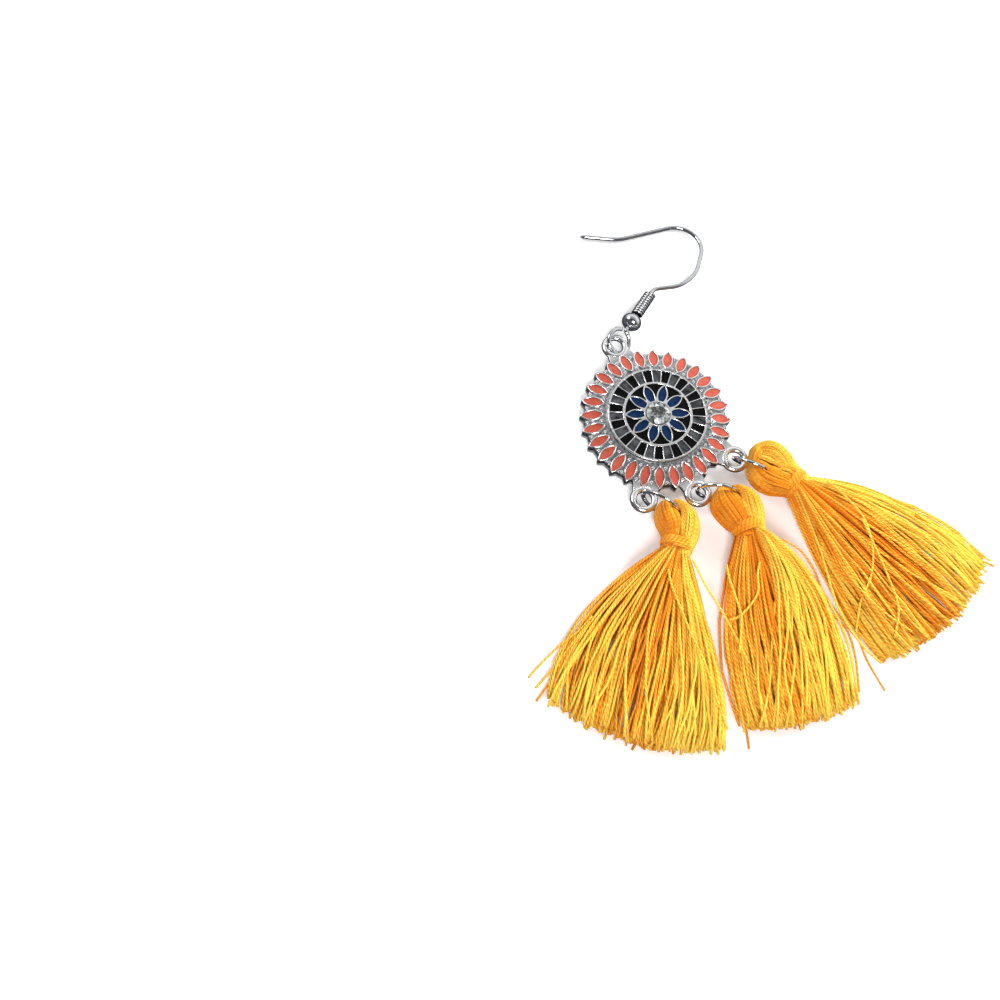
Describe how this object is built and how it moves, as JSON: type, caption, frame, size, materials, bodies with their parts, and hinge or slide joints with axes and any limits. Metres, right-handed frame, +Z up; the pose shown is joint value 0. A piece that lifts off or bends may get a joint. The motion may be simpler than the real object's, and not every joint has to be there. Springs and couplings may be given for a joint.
{
  "type": "tassel earring",
  "caption": "Hook earring with a round enamelled medallion, a clear faceted stone and fringed thread tassels on jump rings, lying flat on its back.",
  "frame": {"origin": "centre of the medallion on its flat back, on the surface that the earring lies on", "axes": "+Z up out of the medallion face, +Y from the medallion towards the ear wire, with the tassels towards -Y"},
  "size_m": [0.0736, 0.0919, 0.0068],
  "materials": {
    "cast_metal": "satin",
    "wire_metal": "polished",
    "coral_enamel": "gloss",
    "blue_enamel": "gloss",
    "black_enamel": "gloss",
    "grey_enamel": "gloss",
    "stone": "gloss",
    "thread": "satin",
    "wrap_thread": "satin"
  },
  "bodies": {
    "root": {"medallion": "cast_metal", "coral_petal_1": "coral_enamel", "coral_petal_2": "coral_enamel", "coral_petal_3": "coral_enamel", "coral_petal_4": "coral_enamel", "coral_petal_5": "coral_enamel", "coral_petal_6": "coral_enamel", "coral_petal_7": "coral_enamel", "coral_petal_8": "coral_enamel", "coral_petal_9": "coral_enamel", "coral_petal_10": "coral_enamel", "coral_petal_11": "coral_enamel", "coral_petal_12": "coral_enamel", "coral_petal_13": "coral_enamel", "coral_petal_14": "coral_enamel", "coral_petal_15": "coral_enamel", "coral_petal_16": "coral_enamel", "coral_petal_17": "coral_enamel", "coral_petal_18": "coral_enamel", "coral_petal_19": "coral_enamel", "coral_petal_20": "coral_enamel", "coral_petal_21": "coral_enamel", "coral_petal_22": "coral_enamel", "coral_petal_23": "coral_enamel", "coral_petal_24": "coral_enamel", "coral_petal_25": "coral_enamel", "coral_petal_26": "coral_enamel", "coral_petal_27": "coral_enamel", "coral_petal_28": "coral_enamel", "blue_petal_1": "blue_enamel", "blue_petal_2": "blue_enamel", "blue_petal_3": "blue_enamel", "blue_petal_4": "blue_enamel", "blue_petal_5": "blue_enamel", "blue_petal_6": "blue_enamel", "blue_petal_7": "blue_enamel", "blue_petal_8": "blue_enamel", "blue_petal_9": "blue_enamel", "blue_petal_10": "blue_enamel", "black_cells": "black_enamel", "grey_cells": "grey_enamel", "black_ground": "black_enamel", "rhinestone": "stone", "ear_wire": "wire_metal", "wire_coil": "wire_metal", "wire_bead": "wire_metal", "jump_ring_1": "wire_metal", "jump_ring_2": "wire_metal", "jump_ring_3": "wire_metal", "tassel_1": "thread", "tassel_2": "thread", "tassel_3": "thread", "neck_wrap_1": "wrap_thread", "neck_wrap_2": "wrap_thread", "neck_wrap_3": "wrap_thread"}
  },
  "joints": []
}
